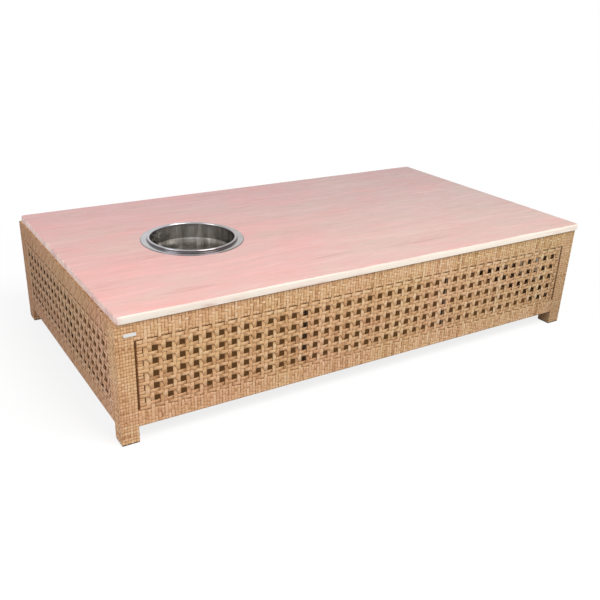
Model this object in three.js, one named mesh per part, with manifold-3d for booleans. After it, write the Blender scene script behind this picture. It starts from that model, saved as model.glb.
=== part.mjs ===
// Coffee table with a drop-in ice bucket: a stone slab on a frame of tubes covered in woven strands.
// Millimetres, +Z up. The origin is on the floor, at the middle of the table's outline seen from above.

import * as THREE from "three";
import { mergeGeometries, mergeVertices } from "three/addons/utils/BufferGeometryUtils.js";
import Module from "manifold-3d";

const wasm = await Module();
wasm.setup();

// Base, outside the weave
const baseLength = 2000;
const baseWidth = 1117;
const seatHeight = 420;
const bottomRailClearance = 56;

// Frame tubes under the weave
const legTube = 50;
const railTubeDepth = 25;
const topRailTube = 55;
const bottomRailTube = 47;
const stileRod = 10;
const postTube = 20;
const crossTubeWidth = 40;
const crossTubeHeight = 30;
const tubeWall = 2;

// How many equal spans the posts behind the lattice make of a side
const postSpansLong = 3;
const postSpansShort = 2;

// Woven cover
const skin = 4.2;
const strandWidth = 11.2;
const slitLong = 6.5;
const slitShort = 3.2;
const edgeRadius = 4;
const seamRadius = 1.2;
const holeShare = 0.97;

// In the lattice two strands lie side by side, and then two strand widths are left open
const strandsInPair = 2;
const strandsPerHole = 2 * strandsInPair;

// Stone slab and where it lies on the base
const slabLength = 2005;
const slabWidth = 1115;
const slabThickness = 25;
const slabCorner = 15;
const slabEase = 5;
const slabInsetLeft = 7;
const slabOverhangFront = 5.5;

// Ice bucket
const bucketFromLeft = 495;
const bucketFromFront = 549;
const bucketFlange = 388;
const bucketMouth = 316;
const bucketFloor = 284;
const bucketDepth = 180;
const bucketWall = 1.2;
const bucketFillet = 25;
const flangeRise = 2.5;
const rimBeadWidth = 10;
const rimRise = 4;
const rimBeadHeight = 5;
const cutoutClearance = 6;

// Pads, glides and label
const padDiameter = 24;
const padFromEdge = 180;
const bucketToCross = 40;
const glideThickness = 3;
const glidePlug = 12;
const glideInset = 1;
const labelWidth = 40;
const labelHeight = 11;
const labelThickness = 1.2;
const labelCorner = 2;
const labelFromLeft = 47;
const labelBelowSeat = 40;

// Clearance between pieces that meet, and how far a cutter runs past what it cuts
const gap = 0.3;
const overrun = 1;

// Facets
const cornerSegments = 2;
const slabCornerSegments = 5;
const easeSegments = 3;
const bucketSegments = 40;
const filletSegments = 5;
const beadSegments = 5;
const padSegments = 12;

// Sizes that follow from the ones above
const cover = skin + gap;
const legSize = legTube + 2 * cover;
const railDepth = railTubeDepth + 2 * cover;
const stileSize = stileRod + 2 * cover;
const topRailHigh = seatHeight - gap;
const topRailLow = topRailHigh - topRailTube - 2 * cover;
const bottomRailLow = bottomRailClearance;
const bottomRailHigh = bottomRailLow + bottomRailTube + 2 * cover;
const latticeLow = bottomRailHigh + gap;
const latticeHigh = topRailLow - gap;
const tubeTop = topRailHigh - cover;
const legLow = glideThickness + gap;
const slabLeft = slabInsetLeft - baseLength / 2;
const slabFront = -slabOverhangFront - baseWidth / 2;
const bucketX = slabLeft + bucketFromLeft;
const bucketY = slabFront + bucketFromFront;
const mouthRadius = bucketMouth / 2;
const flangeRadius = bucketFlange / 2;
const floorRadius = bucketFloor / 2;
const quarterTurn = Math.PI / 2;

// Materials
const paint = {
  stone: { color: 0xe1bdb6, roughness: 0.42, metalness: 0 },
  steel: { color: 0xc9c9c8, roughness: 0.22, metalness: 1 },
  weave: { color: 0xc49f77, roughness: 0.6, metalness: 0 },
  tube: { color: 0xa58863, roughness: 0.5, metalness: 0.6 },
  rubber: { color: 0x33312f, roughness: 0.85, metalness: 0 },
  nylon: { color: 0x2b2a29, roughness: 0.6, metalness: 0 },
  label: { color: 0xe9e6df, roughness: 0.4, metalness: 0 },
};

const table = new THREE.Group();

function add(parent, name, geometry, finish) {
  const mesh = new THREE.Mesh(geometry, new THREE.MeshStandardMaterial(finish));
  mesh.name = name;
  parent.add(mesh);
  return mesh;
}

// Solids

function solidOf(geometry) {
  const plain = geometry.index ? geometry.toNonIndexed() : geometry.clone();
  plain.deleteAttribute("normal");
  plain.deleteAttribute("uv");
  const closed = mergeVertices(plain);
  return new wasm.Manifold(new wasm.Mesh({
    numProp: 3,
    vertProperties: new Float32Array(closed.attributes.position.array),
    triVerts: new Uint32Array(closed.index.array),
  }));
}

function geometryOf(solid) {
  const result = solid.getMesh();
  const geometry = new THREE.BufferGeometry();
  geometry.setAttribute("position", new THREE.BufferAttribute(result.vertProperties, 3));
  geometry.setIndex(new THREE.BufferAttribute(result.triVerts, 1));
  geometry.computeVertexNormals();
  return geometry;
}

// A box between two opposite corners
function block(low, high) {
  const size = high.map((value, axis) => value - low[axis]);
  const geometry = new THREE.BoxGeometry(...size);
  geometry.translate(...high.map((value, axis) => (value + low[axis]) / 2));
  return geometry;
}

// A rectangle about the origin, with one radius for all corners, or four from the low left one round to the
// high left
function rectangle(width, height, ...radii) {
  const shape = new THREE.Shape();
  const corners = [[-1, -1], [1, -1], [1, 1], [-1, 1]];
  corners.forEach(([sideX, sideY], index) => {
    const radius = radii[index % radii.length];
    const start = Math.PI + index * quarterTurn;
    shape.absarc(
      sideX * (width / 2 - radius), sideY * (height / 2 - radius), radius, start, start + quarterTurn, false);
  });
  return shape;
}

function squareCorners(width, height) {
  const path = new THREE.Shape();
  path.moveTo(-width / 2, -height / 2);
  path.lineTo(width / 2, -height / 2);
  path.lineTo(width / 2, height / 2);
  path.lineTo(-width / 2, height / 2);
  path.closePath();
  return path;
}

// An outline drawn in X and Y, given a thickness in Z and centred on the origin
function extrude(shape, length) {
  const geometry = new THREE.ExtrudeGeometry(shape, {
    depth: length, bevelEnabled: false, curveSegments: cornerSegments,
  });
  geometry.translate(0, 0, -length / 2);
  return geometry;
}

// The same, lying along X: the outline's X becomes Y and its Y becomes Z
function extrudeAlongX(shape, length) {
  const geometry = extrude(shape, length);
  geometry.applyMatrix4(new THREE.Matrix4().makeBasis(
    new THREE.Vector3(0, 1, 0), new THREE.Vector3(0, 0, 1), new THREE.Vector3(1, 0, 0)));
  return geometry;
}

function hollowSection(width, height) {
  const shape = squareCorners(width, height);
  shape.holes.push(squareCorners(width - 2 * tubeWall, height - 2 * tubeWall));
  return shape;
}

// Cross-members: one on each side of the bucket, and more that share the rest of the length evenly. Their
// pads are as thick as the weave, so the slab lies level over both.
const crossSpans = 2;
const besideBucket = mouthRadius + bucketToCross + crossTubeWidth / 2;
const crossRight = bucketX + besideBucket;
const crossSpan = (baseLength / 2 - railDepth - crossRight) / crossSpans;
const crossPlaces = [bucketX - besideBucket];
for (let index = 0; index < crossSpans; index += 1) {
  crossPlaces.push(crossRight + index * crossSpan);
}

function addCrossMembers() {
  const length = baseWidth - 2 * (cover + railTubeDepth + gap);
  crossPlaces.forEach((x, index) => {
    const section = extrude(hollowSection(crossTubeWidth, crossTubeHeight), length);
    section.rotateX(quarterTurn);
    const member = add(table, `cross_member_${index + 1}`, section, paint.tube);
    member.position.set(x, 0, tubeTop - crossTubeHeight / 2);
    [-1, 1].forEach((side) => {
      const disc = new THREE.CylinderGeometry(padDiameter / 2, padDiameter / 2, skin, padSegments);
      disc.rotateX(quarterTurn);
      const end = side < 0 ? "front" : "back";
      const pad = add(table, `slab_pad_${end}_${index + 1}`, disc, paint.rubber);
      pad.position.set(x, side * (baseWidth / 2 - padFromEdge), topRailHigh - skin / 2);
    });
  });
}

// Legs, drawn with their outer faces towards -X and -Y
function legWeave() {
  const outline = rectangle(legSize, legSize, edgeRadius, seamRadius, seamRadius, seamRadius);
  const body = extrude(outline, topRailHigh - legLow);
  body.translate(0, 0, (topRailHigh + legLow) / 2);
  const inner = legTube / 2 + gap;
  const outer = legSize / 2 + overrun;
  const cavity = block([-inner, -inner, legLow - overrun], [inner, inner, tubeTop + gap]);
  let solid = solidOf(body).subtract(solidOf(cavity));
  const faceOut = -legTube / 2;
  const faceIn = faceOut + railTubeDepth;
  const levels = [[topRailLow + cover, tubeTop], [bottomRailLow + cover, bottomRailHigh - cover]];
  levels.forEach(([low, high]) => {
    const passage = [faceOut - gap, faceIn + gap];
    solid = solid.subtract(solidOf(block([0, passage[0], low - gap], [outer, passage[1], high + gap])));
    solid = solid.subtract(solidOf(block([passage[0], 0, low - gap], [passage[1], outer, high + gap])));
  });
  return geometryOf(solid);
}

function legGlide() {
  const base = extrude(squareCorners(legSize - 2 * glideInset, legSize - 2 * glideInset), glideThickness);
  base.translate(0, 0, glideThickness / 2);
  const plugHalf = legTube / 2 - tubeWall - gap;
  const plugTop = glideThickness + glidePlug;
  const plug = block([-plugHalf, -plugHalf, glideThickness / 2], [plugHalf, plugHalf, plugTop]);
  return geometryOf(solidOf(base).add(solidOf(plug)));
}

function addLegs() {
  const centreX = baseLength / 2 - legSize / 2;
  const centreY = baseWidth / 2 - legSize / 2;
  const corners = [
    ["front_left", -centreX, -centreY],
    ["front_right", centreX, -centreY],
    ["back_right", centreX, centreY],
    ["back_left", -centreX, centreY],
  ];
  corners.forEach(([place, x, y], index) => {
    const leg = new THREE.Group();
    leg.position.set(x, y, 0);
    leg.rotation.z = index * quarterTurn;
    table.add(leg);
    const section = extrude(hollowSection(legTube, legTube), tubeTop - legLow);
    const tube = add(leg, `leg_tube_${place}`, section, paint.tube);
    tube.position.z = (tubeTop + legLow) / 2;
    add(leg, `leg_weave_${place}`, legWeave(), paint.weave);
    add(leg, `leg_glide_${place}`, legGlide(), paint.nylon);
  });
}

// Sides, drawn with their outer face towards -Y, reach away from the table's middle

function railTube(low, high, reach, halfSpan) {
  const length = 2 * (halfSpan + cover - gap);
  const tube = extrudeAlongX(hollowSection(railTubeDepth, high - low), length);
  tube.translate(0, cover + railTubeDepth / 2 - reach, (low + high) / 2);
  return tube;
}

function railWeave(low, high, reach, halfSpan) {
  const body = extrudeAlongX(rectangle(railDepth, high - low, seamRadius), 2 * (halfSpan - gap));
  body.translate(0, railDepth / 2 - reach, (low + high) / 2);
  const cavity = block(
    [-halfSpan - overrun, skin - reach, low + skin],
    [halfSpan + overrun, railDepth - skin - reach, high - skin]);
  return solidOf(body).subtract(solidOf(cavity));
}

// Stiles and posts stand between the rail tubes, as far behind the outer face as the tubes
function uprightPassage(place, width, reach, low, high) {
  const half = width / 2 + gap;
  const middle = cover + width / 2 - reach;
  return solidOf(block([place - half, middle - half, low], [place + half, middle + half, high]));
}

// The lattice: pairs of strands with square holes between them, worked out from the clear width
function latticePlan(halfSpan, slit) {
  const clear = 2 * (halfSpan - slit - stileSize);
  const rise = latticeHigh - latticeLow;
  const [columns, rows] = [clear, rise].map(
    (length) => Math.max(1, Math.round((length / strandWidth - strandsInPair) / strandsPerHole)));
  const stepX = clear / (strandsPerHole * columns + strandsInPair);
  const stepZ = rise / (strandsPerHole * rows + strandsInPair);
  return { clear, columns, rows, rise, stepX, stepZ };
}

function latticePanel(plan, reach) {
  const holeMiddle = strandsInPair + strandsInPair / 2;
  const halfLength = plan.clear / 2 + stileSize;
  const plate = block([-halfLength, -reach, latticeLow], [halfLength, skin - reach, latticeHigh]);
  const holes = [];
  for (let row = 0; row < plan.rows; row += 1) {
    for (let column = 0; column < plan.columns; column += 1) {
      const x = (strandsPerHole * column + holeMiddle) * plan.stepX - plan.clear / 2;
      const z = latticeLow + (strandsPerHole * row + holeMiddle) * plan.stepZ;
      const halfX = plan.stepX * holeShare;
      const halfZ = plan.stepZ * holeShare;
      holes.push(block(
        [x - halfX, -reach - overrun, z - halfZ], [x + halfX, skin - reach + overrun, z + halfZ]));
    }
  }
  let solid = solidOf(plate).subtract(solidOf(mergeGeometries(holes)));
  [-1, 1].forEach((side) => {
    const place = side * (plan.clear + stileSize) / 2;
    const wrap = extrude(rectangle(stileSize, stileSize, seamRadius), plan.rise);
    wrap.translate(place, stileSize / 2 - reach, (latticeLow + latticeHigh) / 2);
    solid = solid.add(solidOf(wrap));
    solid = solid.subtract(
      uprightPassage(place, stileRod, reach, latticeLow - overrun, latticeHigh + overrun));
  });
  return geometryOf(solid);
}

// Posts behind the lattice share each side's length evenly
function postPlaces(halfSpan, spans) {
  const places = [];
  for (let index = 1; index < spans; index += 1) {
    places.push(index * 2 * halfSpan / spans - halfSpan);
  }
  return places;
}

function addSide(name, turn, reach, halfSpan, slit, spans, crossings) {
  const side = new THREE.Group();
  side.rotation.z = turn;
  table.add(side);
  const plan = latticePlan(halfSpan, slit);
  const stilePlaces = [-1, 1].map((end) => end * (plan.clear + stileSize) / 2);
  add(side, `top_rail_${name}`, railTube(topRailLow + cover, tubeTop, reach, halfSpan), paint.tube);
  add(side, `bottom_rail_${name}`,
    railTube(bottomRailLow + cover, bottomRailHigh - cover, reach, halfSpan), paint.tube);
  let topWeave = railWeave(topRailLow, topRailHigh, reach, halfSpan);
  let bottomWeave = railWeave(bottomRailLow, bottomRailHigh, reach, halfSpan);
  const low = bottomRailHigh - cover;
  const high = topRailLow + cover;
  const stand = (geometry, nodeName, place, width) => {
    topWeave = topWeave.subtract(uprightPassage(place, width, reach, topRailLow - overrun, high));
    bottomWeave = bottomWeave.subtract(uprightPassage(place, width, reach, low, bottomRailHigh + overrun));
    geometry.translate(place, cover + width / 2 - reach, 0);
    add(side, nodeName, geometry, paint.tube);
  };
  stilePlaces.forEach((place, index) => {
    const rod = block(
      [-stileRod / 2, -stileRod / 2, low + gap], [stileRod / 2, stileRod / 2, high - gap]);
    stand(rod, `stile_${name}_${index + 1}`, place, stileRod);
  });
  postPlaces(halfSpan, spans).forEach((place, index) => {
    const tube = extrude(hollowSection(postTube, postTube), high - low - 2 * gap);
    tube.translate(0, 0, (high + low) / 2);
    stand(tube, `post_${name}_${index + 1}`, place, postTube);
  });
  crossings.forEach((x) => {
    const half = crossTubeWidth / 2 + gap;
    const inner = railDepth - reach;
    const passage = block(
      [x - half, inner - cover, tubeTop - crossTubeHeight - gap], [x + half, inner + overrun, tubeTop + gap]);
    topWeave = topWeave.subtract(solidOf(passage));
  });
  add(side, `top_rail_weave_${name}`, geometryOf(topWeave), paint.weave);
  add(side, `bottom_rail_weave_${name}`, geometryOf(bottomWeave), paint.weave);
  add(side, `lattice_${name}`, latticePanel(plan, reach), paint.weave);
}

// Slab, bucket and label

function stoneSlab() {
  const shape = rectangle(slabLength, slabWidth, slabCorner);
  const body = new THREE.ExtrudeGeometry(shape, {
    depth: slabThickness - 2 * slabEase,
    bevelThickness: slabEase,
    bevelSize: slabEase,
    bevelOffset: -slabEase,
    bevelSegments: easeSegments,
    curveSegments: slabCornerSegments,
  });
  body.translate(slabLeft + slabLength / 2, slabFront + slabWidth / 2, slabEase);
  const cutoutRadius = mouthRadius + bucketWall + cutoutClearance;
  const cutter = new THREE.CylinderGeometry(
    cutoutRadius, cutoutRadius, slabThickness + 2 * overrun, bucketSegments);
  cutter.rotateX(quarterTurn);
  cutter.translate(bucketX, bucketY, slabThickness / 2);
  return geometryOf(solidOf(body).subtract(solidOf(cutter)));
}

function arc(centreX, centreY, radiusX, radiusY, from, to, steps) {
  const points = [];
  for (let step = 0; step <= steps; step += 1) {
    const angle = from + (to - from) * step / steps;
    points.push(new THREE.Vector2(centreX + radiusX * Math.cos(angle), centreY + radiusY * Math.sin(angle)));
  }
  return points;
}

// One sheet: its inside from the axis up to the rim that stands on the flange, over its rolled bead and out
// along the flange, then back along its underside. Heights are measured from the slab's top face.
function iceBucket() {
  const top = gap + flangeRise;
  const lean = Math.atan2(mouthRadius - floorRadius, bucketDepth + top);
  const wallAngle = -lean;
  const filletDrop = bucketFillet * Math.tan((quarterTurn - lean) / 2);
  const fillet = (radius, from, to) => arc(
    floorRadius - filletDrop, bucketFillet - bucketDepth, radius, radius, from, to, filletSegments);
  const beadRadius = rimBeadWidth / 2;
  const bead = (radiusX, radiusY, from, to) => arc(
    mouthRadius + beadRadius, top + rimRise, radiusX, radiusY, from, to, beadSegments);
  const inside = [
    new THREE.Vector2(0, -bucketDepth),
    ...fillet(bucketFillet, -quarterTurn, wallAngle),
    new THREE.Vector2(mouthRadius, top),
    ...bead(beadRadius, rimBeadHeight, Math.PI, 0),
    new THREE.Vector2(mouthRadius + rimBeadWidth, top),
    ...arc(flangeRadius - flangeRise, gap, flangeRise, flangeRise, quarterTurn, 0, easeSegments),
  ];
  const outside = [
    new THREE.Vector2(flangeRadius - bucketWall, gap),
    new THREE.Vector2(flangeRadius - flangeRise, top - bucketWall),
    new THREE.Vector2(mouthRadius + rimBeadWidth - bucketWall, top - bucketWall),
    ...bead(beadRadius - bucketWall, rimBeadHeight - bucketWall, 0, Math.PI),
    new THREE.Vector2(mouthRadius + bucketWall / Math.cos(lean), top - bucketWall),
    ...fillet(bucketFillet + bucketWall, wallAngle, -quarterTurn),
    new THREE.Vector2(0, -bucketDepth - bucketWall),
  ];
  const profile = [...inside, ...outside].reverse();
  const lathe = new THREE.LatheGeometry(profile, bucketSegments);
  lathe.rotateX(quarterTurn);
  return geometryOf(solidOf(lathe));
}

function addTop() {
  const slab = add(table, "stone_slab", stoneSlab(), paint.stone);
  slab.position.z = seatHeight;
  const bucket = add(table, "ice_bucket", iceBucket(), paint.steel);
  bucket.position.set(bucketX, bucketY, seatHeight + slabThickness);
}

function addLabel() {
  const plate = extrude(rectangle(labelWidth, labelHeight, labelCorner), labelThickness);
  plate.rotateX(quarterTurn);
  const label = add(table, "blank_label", plate, paint.label);
  label.position.set(
    labelFromLeft - baseLength / 2,
    -baseWidth / 2 - gap - labelThickness / 2,
    seatHeight - labelBelowSeat);
}

addLegs();
addCrossMembers();
const spanLong = baseLength / 2 - legSize;
const spanShort = baseWidth / 2 - legSize;
addSide("front", 0, baseWidth / 2, spanLong, slitLong, postSpansLong, crossPlaces);
addSide("right", quarterTurn, baseLength / 2, spanShort, slitShort, postSpansShort, []);
const crossPlacesBack = crossPlaces.map((x) => -x);
addSide("back", 2 * quarterTurn, baseWidth / 2, spanLong, slitLong, postSpansLong, crossPlacesBack);
addSide("left", 3 * quarterTurn, baseLength / 2, spanShort, slitShort, postSpansShort, []);
addTop();
addLabel();

// The slab lies a little to the right and front of the base, so the outline's middle is found from both
const lowX = Math.min(-baseLength / 2, slabLeft);
const highX = Math.max(baseLength / 2, slabLeft + slabLength);
const lowY = Math.min(-baseWidth / 2, slabFront);
const highY = Math.max(baseWidth / 2, slabFront + slabWidth);
table.position.set(-(lowX + highX) / 2, -(lowY + highY) / 2, 0);

export default table;
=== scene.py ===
import math

import bpy
import numpy as np
from mathutils import Matrix, Vector


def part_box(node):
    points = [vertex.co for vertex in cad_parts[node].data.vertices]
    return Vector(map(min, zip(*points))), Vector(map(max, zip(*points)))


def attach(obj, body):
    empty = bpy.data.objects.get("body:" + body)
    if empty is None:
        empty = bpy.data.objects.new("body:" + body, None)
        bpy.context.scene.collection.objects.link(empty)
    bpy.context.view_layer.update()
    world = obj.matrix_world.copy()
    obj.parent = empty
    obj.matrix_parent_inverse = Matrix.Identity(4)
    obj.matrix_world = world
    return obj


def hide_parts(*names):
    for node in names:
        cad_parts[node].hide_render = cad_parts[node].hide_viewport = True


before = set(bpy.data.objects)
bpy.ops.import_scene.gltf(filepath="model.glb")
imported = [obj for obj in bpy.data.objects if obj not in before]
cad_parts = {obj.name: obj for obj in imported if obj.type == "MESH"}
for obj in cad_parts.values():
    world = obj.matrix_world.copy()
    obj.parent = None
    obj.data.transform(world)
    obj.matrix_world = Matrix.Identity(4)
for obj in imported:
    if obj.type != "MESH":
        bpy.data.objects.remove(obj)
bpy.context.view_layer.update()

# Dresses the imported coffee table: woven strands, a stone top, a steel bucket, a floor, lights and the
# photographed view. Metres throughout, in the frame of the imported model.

SEED = 23
random = np.random.default_rng(SEED)
UP = np.array([0.0, 0.0, 1.0])
QUARTER_TURN = math.pi / 2

# Sizes of the strands
STRAND_PITCH = 0.0112
UPRIGHT_HALF = 0.01325
COURSE_HALF = 0.0124
COURSE_PITCH = 0.0435
UNDER_RAIL = 0.0008
UPRIGHT_OVERRUN = 0.00015
THICKNESS = 0.0013
LATTICE_THICKNESS = 0.0014
PACKED_SHARE = 0.965
COARSE_SHARE = 0.9
BEVEL_SHARE = 0.16
RIB_PITCH = 0.0013
STRANDS_PER_HOLE = 4
STRANDS_IN_PAIR = 2
LEG_ROWS = 6
LEG_STEP = 0.0109

# How strands pass over and under each other, and how far they stray from their places
SWING = 0.00085
LATTICE_SWING = 0.0008
SKIN_MIDDLE = 0.0016
LATTICE_MIDDLE = 0.0017
CROSSING_FLAT = 0.0028
PAIR_GAP = 0.0003
PINHOLE = 0.001
SPAN_SEAM = ((0.0, PINHOLE), (0.2, -PAIR_GAP), (0.8, -PAIR_GAP), (1.0, PINHOLE))
UPRIGHT_LEAN_SHARES = (0.18, 0.42)
COURSE_LEAN_SHARES = (0.05, 0.12)
RAIL_FLOATS = 3
RAIL_PHASE = 2
CAP_FLOATS = 2
WANDER = 0.00035
STATIONS_PER_KNOT = 12
WIDTH_SPREAD_SHARE = 0.035
WIDTH_LIMITS = (0.9, 1.06)
GRAIN_SHIFT = 3.0

# Bends of the woven skin, and the stations of a strand there and on the flats between
EDGE_RADIUS = 0.0026
SEAM_RADIUS = 0.0014
SHARPEST_BEND = 0.0004
CORNER_LIFT = 0.4
CORNER_SHARES = (0.15, 0.5, 0.85)
ROW_SHARES = (0.25, 0.75)
STILE = 0.019
STILE_CORNER = 0.0022
STILE_CORNER_SHARES = (0.25, 0.75)

# How pale each strand is, how much that differs, and how dark the painted shade is where strands cross and
# along their edges. The left side's strands are paler and take more painted shade, for more light-and-shade
# contrast there.
TONE = 0.5
TONE_SPREAD = 0.17
LEFT_LATTICE_PALER = 0.2
RAIL_CREVICE_SHADE = 0.75
COARSE_CREVICE_SHADE = 1.4
LATTICE_CREVICE_SHADE = 0.8
LEFT_LATTICE_CREVICE_SHADE = 1.3
LEG_CREVICE_SHADE = 1.0

# Where painted shade darkens the weave, along the table's length and up it
RIGHT_END = (0.42, 0.8)
RIGHT_LEGS = (0.87, 0.93)
LEG_FEET = (0.04, 0.4)
LOW_DOWN = (0.05, 0.3)

# How far the hand-made lattice strays from the middle of its panel: along the side, and up. The first
# upright widens by a share of the room that this leaves.
STRAY = {"front": (0.006, 0.0), "left": (0.0, -0.0042)}
NO_STRAY = (0.0, 0.0)
SLACK_SHARE = 0.5

# Sizes of the bucket. Those of the floor's dome and of the groove round the rim are pairs of a radius and a
# height: out from the axis and above the floor, and out from the bead's foot and above the flange.
MOUTH_RADIUS = 0.158
FLOOR_RADIUS = 0.142
FLOOR_DOME = ((0.0, 0.001), (0.03, 0.0009), (0.06, 0.0003), (0.09, 0.0))
BUCKET_WALL = 0.0012
BUCKET_FILLET = 0.025
BUCKET_SEGMENTS = 144
BEAD_WIDTH = 0.01
BEAD_HEIGHT = 0.005
RIM_RISE = 0.004
GROOVE_DEPTH = 0.0011
GROOVE = ((0.0, 0.001), (0.0004, 0.0), (0.0008, -GROOVE_DEPTH), (0.0022, -GROOVE_DEPTH), (0.0034, -0.0002),
          (0.005, 0.0))
FLANGE_RISE = 0.0025
FLANGE_SHOULDER = 0.006
FLANGE_FALL = 0.0004
FLANGE_ROUND_SHARE = 0.85
FILLET_STEPS = 10
BEAD_STEPS = 12
BEAD_UNDER_STEPS = 8
FLANGE_STEPS = 5

# Where painted shade darkens the steel's creases: out from the bead's foot, and in from the flange's edge
FOOT_CREASE = ((-0.0014, -0.0004), (0.001, 0.0028))
EDGE_CREASE = (0.003, 0.0014)

# Points up the bucket's wall: a height, and how far out and up the step moves each, in step widths
STEP_WIDTH = 0.0016
STEP = ((-0.085, 0.0, 0.0), (-0.055, -0.15, 0.0), (-0.055, 0.4, 1.2), (-0.049, 0.4, 0.0), (-0.008, 0.2, 0.0),
        (0.0, 0.0, 0.0))

# Stone slab
SLAB_CORNER = 0.015
SLAB_SHARP_CORNER = 0.008
SLAB_EASE = 0.005
SLAB_LOWER_EASE = 0.0015
SLAB_ARRIS = 0.0008
SLAB_CORNER_STEPS = 8
SLAB_EDGE_STEPS = 48
SLAB_EASE_STEPS = 6
CUT_CLEARANCE = 0.006
PALE_BAND = 0.0035
LEFT_BAND_CUT = 0.0025
EDGE_REACH = 0.02


def box(node):
    low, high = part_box(node)
    return np.array(low), np.array(high)


LEG_PLACES = ("front_left", "front_right", "back_right", "back_left")
leg_boxes = [box(f"leg_weave_{leg}") for leg in LEG_PLACES]
legs_low = np.min([low for low, _ in leg_boxes], axis=0)
legs_high = np.max([high for _, high in leg_boxes], axis=0)
middle = (legs_low + legs_high) / 2

# The middle of each side's outer face, the way along it and the way into the table
SIDES = {
    "front": [(middle[0], legs_low[1], 0), (1, 0, 0), (0, 1, 0)],
    "right": [(legs_high[0], middle[1], 0), (0, 1, 0), (-1, 0, 0)],
    "back": [(middle[0], legs_high[1], 0), (-1, 0, 0), (0, -1, 0)],
    "left": [(legs_low[0], middle[1], 0), (0, -1, 0), (1, 0, 0)],
}


# Node materials

class Signal:
    """What a node gives out. Arithmetic on signals adds Math nodes."""

    def __init__(self, nodes, socket):
        self.nodes, self.socket = nodes, socket

    def __add__(self, other):
        return self.nodes.maths("ADD", self, other)

    def __sub__(self, other):
        return self.nodes.maths("SUBTRACT", self, other)

    def __mul__(self, other):
        return self.nodes.maths("MULTIPLY", self, other)


class Nodes:
    """A node tree in the making. Most methods add a node and return what it gives out."""

    def __init__(self, tree):
        self.tree = tree

    def feed(self, node, inputs):
        """Joins signals to a node's sockets, and writes numbers, vectors and colours there."""
        for key, value in inputs.items():
            socket = node.inputs[key]
            if isinstance(value, Signal):
                self.tree.links.new(value.socket, socket)
            else:
                socket.default_value = (*value, 1.0) if socket.type == "RGBA" else value

    def add(self, kind, inputs, output=0, **settings):
        """Both inputs and output go by a socket's name or number."""
        made = self.tree.nodes.new(kind)
        for key, value in settings.items():
            setattr(made, key, value)
        self.feed(made, inputs)
        return Signal(self, made.outputs[output])

    def maths(self, operation, *terms, clamp=False):
        return self.add("ShaderNodeMath", dict(enumerate(terms)), operation=operation, use_clamp=clamp)

    def vector(self, operation, *terms, output=0):
        return self.add("ShaderNodeVectorMath", dict(enumerate(terms)), output, operation=operation)

    def split(self, vector):
        parts = self.add("ShaderNodeSeparateXYZ", {0: vector}).socket.node.outputs
        return [Signal(self, part) for part in parts]

    def joined(self, x, y, z=0.0):
        return self.add("ShaderNodeCombineXYZ", {0: x, 1: y, 2: z})

    def object_place(self):
        return self.add("ShaderNodeTexCoord", {}, "Object")

    def stretched(self, place, scale, shift=(0.0, 0.0, 0.0)):
        return self.add("ShaderNodeMapping", {"Vector": place, "Location": shift, "Scale": scale})

    def noise(self, place, scale, detail=3.0, roughness=0.5, shift=(0.0, 0.0, 0.0)):
        """The scale is one number, or one for each axis."""
        if isinstance(scale, tuple):
            place, scale = self.stretched(place, scale, shift), 1.0
        return self.add("ShaderNodeTexNoise", {
            "Vector": place, "Scale": scale, "Detail": detail, "Roughness": roughness})

    def span(self, value, low, high, to_low=0.0, to_high=1.0):
        return self.add("ShaderNodeMapRange", {
            "Value": value, "From Min": low, "From Max": high, "To Min": to_low, "To Max": to_high})

    def fade(self, value, low, high):
        return self.span(value, low, high, 1.0, 0.0)

    def ramp(self, fac, *stops):
        """Each stop is a place and the colour there."""
        colour = self.add("ShaderNodeValToRGB", {"Fac": fac})
        elements = colour.socket.node.color_ramp.elements
        while len(elements) < len(stops):
            elements.new(1.0)
        for element, (place, shade) in zip(elements, stops):
            element.position = place
            element.color = (*shade, 1.0)
        return colour

    def mix(self, colour, other, share, mode="MIX"):
        inputs = {0: share, 6: colour, 7: other}
        return self.add("ShaderNodeMix", inputs, 2, data_type="RGBA", blend_type=mode)

    def tinted(self, colour, *tints):
        """Each tint is a colour to multiply by, and its share."""
        for shade, share in tints:
            colour = self.mix(colour, shade, share, "MULTIPLY")
        return colour

    def bump(self, height, strength, distance):
        return self.add("ShaderNodeBump", {"Strength": strength, "Distance": distance, "Height": height})

    def plainly_seen(self, *rays):
        """1 for the rays that show a backdrop plainly, and 0 for the rest, which light things."""
        path = self.tree.nodes.new("ShaderNodeLightPath")
        seen, *others = (Signal(self, path.outputs[ray]) for ray in rays)
        for other in others:
            seen = self.maths("MAXIMUM", seen, other)
        return seen

    def surface(self, kind, share, shader, other):
        mixed = self.add("ShaderNodeMixShader", {0: share, 1: shader, 2: other})
        self.feed(self.tree.nodes.new(kind), {"Surface": mixed})


class Coat(Nodes):
    """The nodes of a new material, with its Principled shader."""

    def __init__(self, name):
        self.material = bpy.data.materials.new(name)
        self.material.use_nodes = True
        super().__init__(self.material.node_tree)

    def shade(self, inputs):
        self.feed(next(node for node in self.tree.nodes if node.type == "BSDF_PRINCIPLED"), inputs)
        return self.material


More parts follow.
